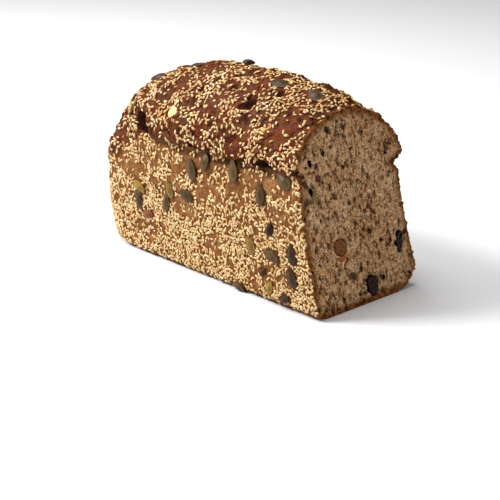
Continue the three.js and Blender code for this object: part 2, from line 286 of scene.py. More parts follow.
def half_outline(x, side):
    """One half of the section, as (y, z) from the middle of the base to the top of the dome."""
    share = lip_share(x)
    from_heel = x + LOAF_LENGTH / 2
    narrowing = 1 - rounded_edge(HEEL_CORNER, from_heel) / (LOAF_WIDTH / 2)
    lift = rounded_edge(NEAR_SIDE["corner"], from_heel)
    wall, ridge = wall_height(x) + side["crease_rise"] * share, ridge_height(x)
    lip = min(wall + side["lip_rise"], blend(wall, ridge, 0.4)) + lip_raggedness(x, side["sign"])
    crown_in = blend(side["crown_in_at_heel"], side["crown_in_at_cut"], from_heel / LOAF_LENGTH)
    foot, waist = side["foot"] * narrowing, side["waist"] * narrowing
    corner = side["corner"]
    points = [(0.5 * (foot - corner), lift)]
    for turn in map(math.radians, CORNER_TURNS):
        points.append((foot - corner * (1 - math.sin(turn)), lift + corner * (1 - math.cos(turn))))
    for step in WALL_STEPS:
        points.append((blend(foot, waist, min(1, 1.6 * step)), blend(lift + corner, wall, step)))
    points.append((waist - side["crease"] * share, wall))
    points.append((waist + 0.5 * side["lip"] * share, blend(wall, lip, 0.45)))
    for turn in map(math.radians, CROWN_TURNS):
        out = (waist + side["lip"] * share) * math.cos(turn) ** crown_in
        points.append((out, blend(lip, ridge, math.sin(turn) ** side["crown_up"])))
    lean = [CROWN_TOP_Y * smoothstep(z, wall, ridge) for _, z in points]
    return [(side["sign"] * out + over, z) for (out, z), over in zip(points, lean)]


def section_outline(x):
    """The whole outline: up the near side, over the top and down the far side."""
    near, far = half_outline(x, NEAR_SIDE), half_outline(x, FAR_SIDE)
    base = (0, rounded_edge(NEAR_SIDE["corner"], x + LOAF_LENGTH / 2))
    return [base] + near + [(CROWN_TOP_Y, ridge_height(x))] + far[::-1]


CROWN_SWELL = 1.6
WALL_SWELL = 0.7


def dough_swell(x, y, z):
    """Slow swellings of the dough, from -1 to 1: waves that cross in several directions."""
    return (
        0.45 * math.sin(0.11 * x + 0.05 * z + 1.3) * math.cos(0.09 * y + 0.07 * z)
        + 0.35 * math.sin(0.19 * x - 0.13 * y + 0.6) * math.cos(0.16 * z - 0.08 * y + 2.1)
        + 0.2 * math.sin(0.31 * x + 0.27 * y + 0.21 * z + 4.0)
    )


# Places where the loaf bulges more than the waves say, or less: x, y, z, reach and millimetres.
BULGES = [
    (60, 10, 128, 16, 2.2), (88, 5, 124, 13, -4.6), (88, 24, 118, 8, -2.2), (86, -28, 114, 9, 2.6),
    (93, 45, 87, 7, 1.6), (106, 47, 17, 10, 2.2), (-88, -14, 110, 13, 1.3), (-99, -41, 4, 14, -3.6),
    (31, -25, 122, 12, 1.6),
]


def swelled(x, y, z):
    wall = wall_height(x)
    on_crown = smoothstep(z, wall - 4, wall + 12)
    amount = smoothstep(z, 4, 16) * blend(WALL_SWELL, CROWN_SWELL, on_crown) * dough_swell(x, y, z)
    for *centre, reach, height in BULGES:
        away = (Vector((x, y, z)) - Vector(centre)).length / reach
        amount += height * math.exp(-(away**2))
    outwards = Vector((0, y, z - 0.5 * wall)).normalized()
    return at(x, y, z) + outwards * amount * MM


# %% [markdown]
# ## The skin
# A loft can be made by hand: start with a ring, extrude it, shape the new ring, and go on. Here
# the ring is a circle whose vertices are put on the section's outline, and each extrusion is put
# on the next section. Each vertex keeps its number round the ring in a layer of the mesh, and an
# extruded vertex inherits it, so it always knows which point of the outline it belongs to.

# %% Pull the section along the loaf
RING_STEP = 3
BEYOND_CUT = 12
CLOSE_TO_HEEL = (0, 0.4, 1.2, 2.5, 4.5)
heel = -LOAF_LENGTH / 2
stations = [heel + step for step in CLOSE_TO_HEEL]
while stations[-1] < LOAF_LENGTH / 2 + BEYOND_CUT:
    stations.append(stations[-1] + RING_STEP)

ring_size = len(section_outline(0))
loaf = new_piece(
    bpy.ops.mesh.primitive_circle_add, "baked_loaf", vertices=ring_size, radius=LOAF_WIDTH / 2 * MM
)
bpy.ops.object.mode_set(mode="EDIT")


def place_ring(x):
    """Puts the selected ring of the skin on the loaf's section at x."""
    skin = bmesh.from_edit_mesh(loaf.data)
    place = skin.verts.layers.int["place"]
    outline = section_outline(x)
    for vertex in (v for v in skin.verts if v.select):
        vertex.co = swelled(x, *outline[vertex[place]])
    bmesh.update_edit_mesh(loaf.data)


skin = bmesh.from_edit_mesh(loaf.data)
place = skin.verts.layers.int.new("place")
for number, vertex in enumerate(skin.verts):
    vertex[place] = number
bpy.ops.mesh.select_all(action="SELECT")
place_ring(stations[0])
for x in stations[1:]:
    bpy.ops.mesh.extrude_region_move()
    place_ring(x)
bpy.ops.mesh.edge_face_add()
print("rings:", len(stations), "of", ring_size, "points")

# %% [markdown]
# The heel's flat end bulged a little as it baked. Its open ring is selected and extruded three
# times, each time smaller and further out, which makes a shallow pillow that one face closes.

# %% Close the heel
HEEL_RINGS = ((0.93, 0.35), (0.78, 0.4), (0.5, 0.25))
bpy.ops.mesh.select_all(action="DESELECT")
skin = bmesh.from_edit_mesh(loaf.data)
for edge in skin.edges:
    if edge.is_boundary:
        edge.select_set(True)
bmesh.update_edit_mesh(loaf.data)
heel_middle = at(heel, 0, 0.4 * WALL_HEIGHT)
for size, out in HEEL_RINGS:
    bpy.ops.mesh.extrude_region_move()
    bpy.ops.transform.resize(value=(1, size, size), center_override=heel_middle)
    bpy.ops.transform.translate(value=(-out * HEEL_BULGE * MM, 0, 0))
bpy.ops.mesh.edge_face_add()
face_outwards()
uncut_skin = BVHTree.FromObject(loaf, bpy.context.evaluated_depsgraph_get())

# %% [markdown]
# ## Torn places
# Where the crust hardened before the dough had finished rising, it tore. A boolean cut with a
# rough ball gives such a hollow: the ball is squashed and turned to lie along the tear, and a
# cloud texture makes it ragged. Places on the crust are given by x and the height on a side, and
# a ray shot at the skin finds the surface there and the way it faces.


# %% Find a place on the crust and lay things on it
WELL_OUTSIDE = 200


def meet_from_side(surface, x, side, height):
    """The point where a level line from one side of the loaf meets a surface, and its normal."""
    origin, direction = at(x, side["sign"] * WELL_OUTSIDE, height), Vector((0, -side["sign"], 0))
    point, normal, _, _ = surface.ray_cast(origin, direction)
    return point, normal


def lay_on(thing, point, normal, turn, sunk=0, tilt=0):
    """Lays an object whose own up is Z on the crust, turned about the normal, and settles it."""
    stand = Vector((0, 0, 1)).rotation_difference(normal).to_matrix().to_4x4()
    spin = Matrix.Rotation(math.radians(turn), 4, "Z") @ Matrix.Rotation(math.radians(tilt), 4, "X")
    place = Matrix.Translation(point - normal * sunk * MM)
    thing.matrix_world = place @ stand @ spin @ thing.matrix_world
    return settle(thing)


def clouds(name, size):
    texture = bpy.data.textures.new(name, "CLOUDS")
    texture.noise_scale = size * MM
    return texture


def displace(thing, texture, strength, group=None, level=0.5):
    modifier = thing.modifiers.new(texture.name if texture else "depth", "DISPLACE")
    modifier.texture = texture
    modifier.texture_coords = "LOCAL"
    modifier.strength = strength * MM
    modifier.mid_level = level
    if group:
        modifier.vertex_group = group


def cut_away(thing, tool):
    """Takes the tool's shape out of the thing, and removes the tool."""
    only(thing)
    cut = thing.modifiers.new("cut", "BOOLEAN")
    cut.operation = "DIFFERENCE"
    cut.solver = "EXACT"
    cut.object = tool
    apply_modifiers(thing)
    bpy.data.objects.remove(tool)


# %% Tear the crust
TORN_PLACES = [
    dict(x=31, side=NEAR_SIDE, height=121, size=(17, 12, 4), turn=75),
    dict(x=-57, side=NEAR_SIDE, height=95, size=(26, 10, 5.5), turn=-47),
    dict(x=-28, side=NEAR_SIDE, height=93, size=(24, 3.5, 3), turn=-28),
    dict(x=2, side=NEAR_SIDE, height=87.5, size=(22, 4.5, 5), turn=-6),
    dict(x=38, side=NEAR_SIDE, height=87, size=(28, 4.6, 4.6), turn=0),
    dict(x=66, side=NEAR_SIDE, height=88, size=(24, 6.5, 6), turn=-8),
    dict(x=90, side=NEAR_SIDE, height=90, size=(13, 4, 4.4), turn=20),
    dict(x=25, side=FAR_SIDE, height=108, size=(14, 5, 3), turn=120),
    dict(x=-40, side=FAR_SIDE, height=118, size=(10, 6, 2.4), turn=40),
]
ragged = clouds("ragged tear", 4)
for tear in TORN_PLACES:
    ball = new_piece(bpy.ops.mesh.primitive_ico_sphere_add, "torn place", subdivisions=4, radius=1)
    length, width, depth = tear["size"]
    ball.scale = (length / 2 * MM, width / 2 * MM, depth * MM)
    bpy.context.view_layer.update()
    point, normal = meet_from_side(uncut_skin, tear["x"], tear["side"], tear["height"])
    lay_on(ball, point, normal, tear["turn"])
    displace(ball, ragged, 5)
    apply_modifiers(ball)
    cut_away(loaf, ball)
print("torn places:", len(TORN_PLACES), "skin now has", triangles(loaf), "triangles")

# %% [markdown]
# ## The knife
# Bisect cuts the whole skin with a plane, throws one side away and fills the cut. The knife
# leaned back, so the plane's normal points along the loaf and a little up.

# %% Cut the loaf
CUT_NORMAL = Vector((math.cos(CUT_LEAN), 0, math.sin(CUT_LEAN)))
CUT_FOOT = at(LOAF_LENGTH / 2, 0, 0)


def slice_off(thing, beyond=0):
    """Cuts a thing along the knife's plane, or some millimetres beyond it, and closes the cut."""
    edit_whole(thing)
    bpy.ops.mesh.bisect(
        plane_co=CUT_FOOT + CUT_NORMAL * beyond * MM, plane_no=CUT_NORMAL, use_fill=True,
        clear_outer=True,
    )
    bpy.ops.object.mode_set(mode="OBJECT")


def from_cut(point):
    """How far a point lies behind the plane of the cut, in metres."""
    return (CUT_FOOT - point).dot(CUT_NORMAL)


slice_off(loaf)
print("cut loaf:", triangles(loaf), "triangles")

# %% [markdown]
# ## Pockets for the fruit, and large holes
# A raisin shrinks and swells in the oven, so it sits in a pocket slightly larger than itself. The
# pockets and the crumb's few large bubbles are cut with rough balls as well. Places on the cut
# are given by y and z, and the plane of the cut tells x.


# %% Cut the pockets and bubbles
def on_cut(y, z, behind=0):
    """A point on the plane of the cut, or some millimetres behind it."""
    return at(LOAF_LENGTH / 2 - z * math.tan(CUT_LEAN), y, z) - CUT_NORMAL * behind * MM


def ball_at_cut(name, y, z, size, turn, extra=0, behind=1.5, rough=None):
    """A ball squashed to size, turned in the plane of the cut, with its middle just behind it."""
    ball = new_piece(bpy.ops.mesh.primitive_ico_sphere_add, name, subdivisions=4, radius=1)
    ball.scale = [(length / 2 + extra) * MM for length in size]
    settle(ball)
    ball.rotation_euler = (math.radians(turn), 0, 0)
    ball.location = on_cut(y, z, behind)
    settle(ball)
    if rough:
        displace(ball, rough, 1.6)
        apply_modifiers(ball)
    return ball


# Each bubble by y, z and width. They are taller than wide, as the dough rose, and lean a little.
BUBBLES = [
    (-0.1, 97.6, 3.6), (-3.3, 94.9, 2.8), (0.6, 89.5, 3.4), (-35.3, 94.8, 4.2),
    (-37.5, 77.8, 4.5), (23.9, 92.4, 2.8), (-17.5, 52, 3), (21, 58, 2.6), (12, 36, 2.4),
]
BUBBLE_STRETCH = 1.4
BUBBLE_LEAN = 20
POCKET_GAP = 0.8
rough_pocket = clouds("rough pocket", 3)
for fruit in FRUIT.values():
    cut_away(loaf, ball_at_cut("pocket", **fruit, extra=POCKET_GAP, rough=rough_pocket))
for y, z, size in BUBBLES:
    tall = (size, size, BUBBLE_STRETCH * size)
    cut_away(loaf, ball_at_cut("bubble", y, z, tall, BUBBLE_LEAN, behind=0, rough=rough_pocket))

# %% [markdown]
# ## An even, fine surface
# Relief needs vertices to move. A voxel remesh turns the whole closed skin into even quads a
# little over a millimetre across, and the cut face is then subdivided once more, because the
# crumb's holes are finer than the crust's wrinkles.

# %% Remesh the loaf and refine the cut
LOAF_QUAD = 1.35
SKIN_OF_CUT = 0.6


def even_quads(thing, size):
    """Adds a voxel remesh, which turns a closed skin into quads of one size."""
    remesh = thing.modifiers.new("even quads", "REMESH")
    remesh.mode = "VOXEL"
    remesh.voxel_size = size * MM


even_quads(loaf, LOAF_QUAD)
apply_modifiers(loaf)
bpy.ops.object.mode_set(mode="EDIT")
bpy.ops.mesh.select_mode(type="FACE")
mesh = bmesh.from_edit_mesh(loaf.data)
for face in mesh.faces:
    flat = face.normal.dot(CUT_NORMAL) > 0.9
    face.select_set(flat and from_cut(face.calc_center_median()) < SKIN_OF_CUT * MM)
bmesh.update_edit_mesh(loaf.data)
bpy.ops.mesh.subdivide(number_cuts=1)
bpy.ops.object.mode_set(mode="OBJECT")
print("loaf:", triangles(loaf), "triangles")

# %% [markdown]
# ## Where the crust is what
# Six measures are taken at each vertex and used again and again. Depth is how far it lies under
# the uncut skin: nothing on the crust, more on the cut and in the tears. Crown, cut and rind say
# how much it belongs to the dome, to the cut face and to the brown band that the crust leaves
# round the cut. Crease is the line under the near lip where shade is painted on the crust, and
# pore is a small hole of the crumb. As attributes they steer the relief, the colours and the seeds.

# %% Measure the loaf's surface
PORE_STRETCH = 2.2


def pore_at(point):
    """1 in a pore of the crumb, nothing beside it: noise stretched upright, as risen dough is."""
    foam_place = Vector((point.x, point.y, point.z / PORE_STRETCH)) / MM
    foam = noise.noise(foam_place / 2.6) + 0.55 * noise.noise(foam_place / 1.3)
    return smoothstep(foam + 0.3 * noise.noise(foam_place / 12), 0.2, 0.5)


def rind_at(point, depth, outwards):
    """1 in the brown band that the crust leaves on the cut: wide below, hardly there at the front."""
    width = blend(blend(1.8, 0.7, smoothstep(-outwards.y, 0.2, 0.8)), 2.6, smoothstep(outwards.z, 0.2, 0.7))
    width = blend(width, 4.2, smoothstep(-outwards.z, 0.4, 0.8))
    ragged = 1 + 0.9 * noise.noise(point / (4 * MM)) + 0.5 * noise.noise(point / (1.5 * MM))
    return 1 - smoothstep(depth, 0.5 * width * ragged, width * ragged)


def measure(point):
    """Depth, crown, cut, rind, crease and pore at a point on the loaf's surface."""
    _, outwards, _, distance = uncut_skin.find_nearest(point)
    x, y, z = point.x / MM - MIDDLE_X, point.y / MM - MIDDLE_Y, point.z / MM
    side = NEAR_SIDE if y < 0 else FAR_SIDE
    lip = lip_share(x)
    lip_line = wall_height(x) + (side["crease_rise"] + 1.5) * lip
    wander = 3 * noise.noise(point / (11 * MM)) + 1.5 * noise.noise(point / (4 * MM))
    softness = blend(12, 1.5, lip)
    crown = smoothstep(z + wander * (1.4 - lip), lip_line - softness, lip_line + softness)
    cut = 1.0 - smoothstep(from_cut(point) / MM, 0.3, 1.0)
    # The crease band under the near lip, where the crust material paints shade.
    under_lip = abs(z + 0.6 * wander - lip_line + 2.5)
    crease = (1 - smoothstep(under_lip, 0.5, 3.5)) * lip * smoothstep(x, -60, -20)
    pore = cut * pore_at(point) if cut > 0 else 0.0
    return distance / MM, crown, cut, rind_at(point, distance / MM, outwards), crease, pore


measured = list(zip(*(measure(vertex.co) for vertex in loaf.data.vertices)))
depths, crowns, cuts, _, _, pores_on_cut = measured
for name, values in zip(("depth", "crown", "cut", "rind", "crease", "pore"), measured):
    set_attribute(loaf, name, values)


def weight_group(name, weights):
    """A vertex group tells a modifier how strongly to act on each vertex."""
    group = loaf.vertex_groups.new(name=name)
    for index, weight in enumerate(weights):
        if weight > 0.01:
            group.add([index], weight, "REPLACE")


above_base = [smoothstep(v.co.z / MM, 1.0, 4.0) for v in loaf.data.vertices]
crust_only = [(1 - cut) * above for cut, above in zip(cuts, above_base)]
weight_group("crown", [crown * crust for crown, crust in zip(crowns, crust_only)])
weight_group("wall", [(1 - crown) * crust for crown, crust in zip(crowns, crust_only)])
weight_group("crumb", [cut * smoothstep(depth, 0.8, 3) for cut, depth in zip(cuts, depths)])
weight_group("pores", [pore * smoothstep(depth, 0.8, 2) for pore, depth in zip(pores_on_cut, depths)])
near_cut = [1 - smoothstep(abs(from_cut(v.co)) / MM, 1.0, 5.0) for v in loaf.data.vertices]
on_rim = [1 - smoothstep(depth, 1.0, 3.0) for depth in depths]
weight_group("rim", [near * rim * up for near, rim, up in zip(near_cut, on_rim, above_base)])

# %% [markdown]
# ## Relief of crust and crumb
# Displace pushes vertices along their normals by a texture. The crown gets broad blisters and
# finer wrinkles, the wall only what the tin left, and the rim of the cut is torn a little. The
# crumb gets round pits from a Voronoi texture: its value is nothing at each cell's middle and
# grows outwards, so with a ramp each cell becomes one hole. The pores are pressed in last.

# %% Displace the surface
# Each relief by its name, the size of its clouds, how far it reaches, and where.
RELIEF = [
    ("crown lumps", 13, 5.0, "crown"), ("crown wrinkles", 4, 3.8, "crown"),
    ("wall unevenness", 7, 2.4, "wall"), ("wall grain", 2.4, 1.8, "wall"),
    ("ragged rim", 2.2, 2.4, "rim"), ("crumb swell", 6, 1.2, "crumb"),
    ("crumb tatters", 1.7, 1.2, "crumb"),
]
PORE_DEPTH = 1.5
for name, size, reach, where in RELIEF:
    displace(loaf, clouds(name, size), reach, where)


def pits(name, cell, hole):
    """A texture with one round pit in each cell, whose radius is a share of the cell."""
    texture = bpy.data.textures.new(name, "VORONOI")
    texture.noise_scale = cell * MM
    texture.use_color_ramp = True
    low, high = texture.color_ramp.elements
    low.position, low.color = 0.3 * hole, (0, 0, 0, 1)
    high.position, high.color = hole, (1, 1, 1, 1)
    return texture


displace(loaf, pits("crumb holes", 5.5, 0.3), 1.6, "crumb", level=1)
displace(loaf, None, -PORE_DEPTH, "pores", level=0)
apply_modifiers(loaf)
flatten_underside(loaf)
bpy.ops.object.shade_smooth_by_angle(angle=math.radians(55))
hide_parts("loaf")
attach(loaf, "root")
print("loaf relief done, height", round(max(v.co.z for v in loaf.data.vertices) / MM, 1))

# %% [markdown]
# ## One pumpkin seed
# A hulled pumpkin seed is a flat oval, pointed at one end, with a faint rim. It starts as a disc,
# is stretched and pinched to a point, and gets its thickness by an extrusion. More extrusions,
# each scaled towards the middle, make the rim, the groove inside it and the domed middle.

# %% Model a pumpkin seed
PUMPKIN_LENGTH, PUMPKIN_WIDTH, PUMPKIN_THICKNESS = 15.5, 9.4, 2.8
POINT_PINCH = 0.35
POINT_AT = 7.7
# Each extrusion by the size it ends at and its rise as a share of the seed's thickness.
PUMPKIN_STEPS = [(1, 0.5), (0.88, 0.12), (0.84, -0.05), (0.72, 0.14), (0.6, 0.18), (0.5, 0.09)]


def oval(name, corners, length, width):
    """A flat oval face, to be thickened into a seed or a flake."""
    face = new_piece(
        bpy.ops.mesh.primitive_circle_add, name, vertices=corners, radius=0.5, fill_type="NGON"
    )
    face.scale = (length * MM, width * MM, 1)
    return settle(face)


def thicken(thing, steps):
    """Grows an oval upwards: each step extrudes it, and scales what it extruded."""
    edit_whole(thing)
    for size, rise in steps:
        bpy.ops.mesh.extrude_region_move(TRANSFORM_OT_translate={"value": (0, 0, rise * MM)})
        bpy.ops.transform.resize(value=(size, size, 1), center_override=(0, 0, 0))
    bpy.ops.mesh.poke()
    face_outwards()


pumpkin = oval("one_pumpkin_seed", 20, PUMPKIN_LENGTH, PUMPKIN_WIDTH)
for vertex in pumpkin.data.vertices:
    vertex.co.y *= 1 - POINT_PINCH * smoothstep(vertex.co.x / MM, 0, POINT_AT)
thicken(pumpkin, [(size, rise * PUMPKIN_THICKNESS) for size, rise in PUMPKIN_STEPS])
subdivision = pumpkin.modifiers.new("round", "SUBSURF")
subdivision.levels = 1
apply_modifiers(pumpkin)
bpy.ops.object.shade_smooth()
print("pumpkin seed:", triangles(pumpkin), "triangles,", [round(d / MM, 1) for d in pumpkin.dimensions])

# %% [markdown]
# ## Pumpkin seeds on the crust
# Each is a copy laid where the loaf has one: by x, height on the side, its turn, where 0 lies
# along the loaf and 90 stands upright, its size against the model's, and its tone. Tones run
# from reddish brown at 0 through dark grey and grey-green to olive at 1. Seeds that one cannot
# see from the front are strewn over the far side, and one small seed stands up at the very top.
# All are joined into one piece.

# %% Lay the pumpkin seeds
# On the near side by x, height, turn, size and tone, and on the crown with the side after x.
NEAR_PUMPKIN_SEEDS = [
    (-60, 49, 150, 0.85, 0.95), (-61, 44, 10, 0.6, 0.5), (-61, 38, 110, 0.85, 0.45),
    (-52, 31, 10, 0.7, 0.0), (-27, 54, 120, 0.85, 0.8), (-31, 44, 85, 0.85, 0.55),
    (-10, 54, 170, 0.9, 0.45), (-4, 73, 95, 1.05, 0.5), (9, 81, 95, 0.95, 0.55),
    (36, 80.5, 105, 1.0, 0.6), (61, 71, 92, 0.95, 0.5), (80, 83, 155, 0.95, 0.65),
    (69, 50, 70, 0.6, 0.15), (51, 35, 110, 0.9, 0.85), (71, 33, 175, 0.85, 0.6),
    (88, 38, 100, 0.85, 0.3), (88, 23, 110, 0.95, 0.4), (68, 11, 70, 0.7, 1.0),
    (81, 7, 20, 0.6, 0.35), (62, 20, 60, 0.5, 0.1), (38, 3, 175, 0.8, 0.6),
]
CROWN_PUMPKIN_SEEDS = [
    (-74, NEAR_SIDE, 100, 60, 0.95, 0.5), (-80, NEAR_SIDE, 116, 10, 0.95, 0.4),
    (-51, NEAR_SIDE, 127, 20, 1.0, 0.4), (39, NEAR_SIDE, 130, 5, 0.95, 0.4),
    (67, NEAR_SIDE, 127, 170, 0.95, 0.45), (-30, FAR_SIDE, 122, 40, 1.0, 0.6),
    (12, FAR_SIDE, 112, 100, 0.95, 0.4), (52, FAR_SIDE, 118, 20, 0.9, 0.7),
    (-64, FAR_SIDE, 104, 130, 1.0, 0.5),
]
FAR_PUMPKIN_SEED_COUNT = 14
STANDING_SEED = dict(turn=50, size=0.58, tone=0.3, sunk=-0.7, tilt=65)
PRESSED_IN = 0.3
crust_surface = BVHTree.FromObject(loaf, bpy.context.evaluated_depsgraph_get())
random.seed(5)


def surface_at(x, side, height):
    """The point on the finished crust, with the smooth normal of the skin under its wrinkles."""
    point, normal = meet_from_side(crust_surface, x, side, height)
    return point, uncut_skin.find_nearest(point)[1].lerp(normal, 0.25).normalized()


def lay_copy(model, point, normal, turn, size, tone, sunk, tilt=0):
    """Lays a copy of a seed on the crust, with its own mesh and its tone stored in it."""
    copy = model.copy()
    copy.data = model.data.copy()
    bpy.context.collection.objects.link(copy)
    copy.scale = (size, size, 1)
    bpy.context.view_layer.update()
    set_attribute(copy, "tone", [tone] * len(copy.data.vertices))
    return lay_on(copy, point, normal, turn, sunk, tilt)


def join(pieces, name):
    bpy.ops.object.select_all(action="DESELECT")
    for piece in pieces:
        piece.select_set(True)
    bpy.context.view_layer.objects.active = pieces[0]
    bpy.ops.object.join()
    pieces[0].name = name
    return pieces[0]


laid = []
for x, height, turn, size, tone in NEAR_PUMPKIN_SEEDS:
    laid.append((*surface_at(x, NEAR_SIDE, height), turn, size, tone))
for x, side, height, turn, size, tone in CROWN_PUMPKIN_SEEDS:
    laid.append((*surface_at(x, side, height), turn, size, tone))
for number in range(FAR_PUMPKIN_SEED_COUNT):
    along = blend(-80, 85, (number + 0.8 * random.random()) / FAR_PUMPKIN_SEED_COUNT)
    place = surface_at(along, FAR_SIDE, blend(14, 66, random.random()))
    laid.append((*place, random.uniform(0, 180), random.uniform(0.85, 1), random.random()))
seeds = [lay_copy(pumpkin, *place, sunk=PRESSED_IN) for place in laid]
seeds.append(lay_copy(pumpkin, *surface_at(-14, FAR_SIDE, 132), **STANDING_SEED))
pumpkin_seeds = join(seeds, "pumpkin_seeds")
bpy.data.objects.remove(pumpkin)
print("pumpkin seeds:", len(seeds), "with", triangles(pumpkin_seeds), "triangles")

# %% [markdown]
# ## An oat flake
# One pale oat flake landed on the crown. It is a disc, a little dished, made like the seeds.

# %% Lay the oat flake
FLAKE_LENGTH, FLAKE_WIDTH = 9.5, 7.2
FLAKE_TURN = 20
FLAKE_STEPS = [(1.06, 0.35), (0.9, 0.35), (0.7, -0.12), (0.5, -0.05)]
oat_flake = oval("oat_flake", 14, FLAKE_LENGTH, FLAKE_WIDTH)
thicken(oat_flake, FLAKE_STEPS)
bpy.ops.object.shade_smooth()
flake_place = surface_at(-27, NEAR_SIDE, 106)
lay_on(oat_flake, *flake_place, FLAKE_TURN, sunk=-0.6)
laid.append((*flake_place, FLAKE_TURN, 0.75, 0))
print("oat flake:", triangles(oat_flake), "triangles")

# %% [markdown]
# ## Where sesame sticks
# Sesame lies thick on the lower walls, thinner and in patches above, and in drifts on the crown.
# That is written as a number from 0 to 1 for each vertex, which a scatter then reads as density.
# Noise at two sizes makes patches and drifts. Nothing sticks on the cut, in the tears or below,
# and only a few seeds lie over the edges of the pumpkin seeds. Larger bare patches of the near
# wall are listed by x, height, and how far they reach along and up.


# %% Density of the sesame
BARE_PATCHES = [
    (-66, 62, 13, 7), (-84, 72, 10, 6), (-11, 77, 5, 10), (25, 82, 6, 4), (6, 60, 8, 7),
    (35, 69, 8, 5), (51, 78, 9, 8), (68, 81, 6, 7), (84, 75, 10, 5), (77, 60, 14, 4.5),
    (-13, 48, 11, 4), (15, 25, 8, 10), (52, 8, 7, 3), (-52, 13, 4, 3), (62, 18, 5, 5),
    (30, 17, 4, 3), (-42, 56, 6, 3), (-11, 42, 11, 3), (20, 66, 7, 5),
]


def bare(point):
    """1 in a bare patch of the near wall, nothing outside it, with a wandering edge."""
    x, z = point.x / MM - MIDDLE_X, point.z / MM
    wander = 1 + 0.5 * noise.noise(point / (5 * MM))
    share = 0.0
    for middle_x, middle_z, along, up in BARE_PATCHES:
        away = Vector(((x - middle_x) / along, (z - middle_z) / up)).length * wander
        share = max(share, 1 - smoothstep(away, 0.75, 1.1))
    return share


def beside_pumpkin(point):
    """Nothing on a pumpkin seed or the flake, and 1 beside it, by the oval it covers."""
    share = 1.0
    for middle, normal, turn, size, _ in laid:
        away = point - middle
        if away.length < 9 * MM:
            flat = normal.rotation_difference(Vector((0, 0, 1))) @ away
            flat = Matrix.Rotation(-math.radians(turn), 3, "Z") @ flat
            across = Vector((flat.x / PUMPKIN_LENGTH, flat.y / PUMPKIN_WIDTH)) * 2 / size / MM
            share = min(share, smoothstep(across.length, 0.9, 1.15))
    return share


near_sesame, far_sesame, crown_sesame = [], [], []
for vertex in loaf.data.vertices:
    index, co, normal = vertex.index, vertex.co, vertex.normal
    x, z = co.x / MM - MIDDLE_X, co.z / MM
    free = (1 - smoothstep(depths[index], 0.9, 1.6)) * (1 - cuts[index])
    free *= smoothstep(normal.z, -0.8, -0.3) * smoothstep(z, 0.5, 3) * beside_pumpkin(co)
    patch = 0.5 + noise.noise(co / (15 * MM)) + 0.5 * noise.noise(co / (6 * MM))
    share_up = z / wall_height(x)
    patchy = blend(0.4, 0.9, smoothstep(patch, 0.2, 0.8))
    thick = blend(1, patchy, smoothstep(share_up, 0.4, 0.75)) * blend(0.6, 1, smoothstep(patch, 0, 0.3))
    thick = max(thick, 0.9 * (1 - smoothstep(from_cut(co) / MM, 3, 12)))
    drift = blend(0.15, 1, smoothstep(patch, 0.25, 0.7))
    near = normal.y < 0 and normal.x > -0.75
    near_sesame.append(free * (1 - crowns[index]) * thick * (1 - 0.8 * bare(co)) * near)
    far_sesame.append(free * (1 - crowns[index]) * thick * (not near))
    crown_sesame.append(free * crowns[index] * drift)
set_attribute(loaf, "near_sesame", near_sesame)
set_attribute(loaf, "far_sesame", far_sesame)
set_attribute(loaf, "crown_sesame", crown_sesame)

# %% [markdown]
# ## One sesame seed
# It is a drop three millimetres long, flat and pointed at one end. A sphere with few faces is
# stretched, and its end ring is pinched. Thousands of copies follow, so it has to stay simple.

# %% Model a sesame seed
SESAME_SIZE = (3.2, 1.85, 1.1)
TIP_PINCH = 0.45
sesame = new_piece(
    bpy.ops.mesh.primitive_uv_sphere_add, "one_sesame_seed", segments=6, ring_count=5, radius=0.5,
    rotation=(0, math.pi / 2, 0),
)
settle(sesame)
sesame.scale = [size * MM for size in SESAME_SIZE]
settle(sesame)
for vertex in sesame.data.vertices:
    taper = 1 - TIP_PINCH * smoothstep(vertex.co.x / MM, 0, SESAME_SIZE[0] / 2)
    vertex.co.y *= taper
    vertex.co.z *= taper
bpy.ops.object.shade_smooth()
print("sesame seed:", triangles(sesame), "triangles,", [round(d / MM, 2) for d in sesame.dimensions])

# %% [markdown]
# ## Trees of nodes
# A scatter, a material and a group of nodes are all trees. Two helpers build them: one gives a
# socket either a plain value or a link, and the other adds a node and feeds its sockets.


# %% Add nodes to a tree
def feed(tree, socket, value):
    """Gives a socket a number, a colour or an object, or links another node's output to it."""
    if isinstance(value, bpy.types.NodeSocket):
        tree.links.new(value, socket)
    else:
        socket.default_value = value


def add(tree, kind, inputs=None, **settings):
    """Adds a node. Its inputs are given by name, or by number where names repeat."""
    node = tree.nodes.new(kind)
    for name, value in settings.items():
        setattr(node, name, value)
    for name, value in (inputs or {}).items():
        feed(tree, node.inputs[name], value)
    return node


# %% [markdown]
# ## Scattering with Geometry Nodes
# The tree below spreads points on the loaf, no closer than the given spacing, and as densely as
# the attribute says. It puts a seed on each point, spun at random and tipped a little, because
# seeds lie over each other. Each seed also gets a random "tone" for its colour.


# %% Scatter sesame on the loaf
TIP = math.radians(12)
SMALLEST, LARGEST = 0.82, 1.1


def random_number(tree, low, high, seed):
    """A random number for each seed. The node keeps its numbers' range at inputs 2 and 3."""
    return add(tree, "FunctionNodeRandomValue", {2: low, 3: high, "Seed": seed}).outputs[1]


def random_turn(tree, low, high, seed):
    """A random rotation for each seed, as three angles."""
    inputs = {0: low, 1: high, "Seed": seed}
    return add(tree, "FunctionNodeRandomValue", inputs, data_type="FLOAT_VECTOR").outputs[0]


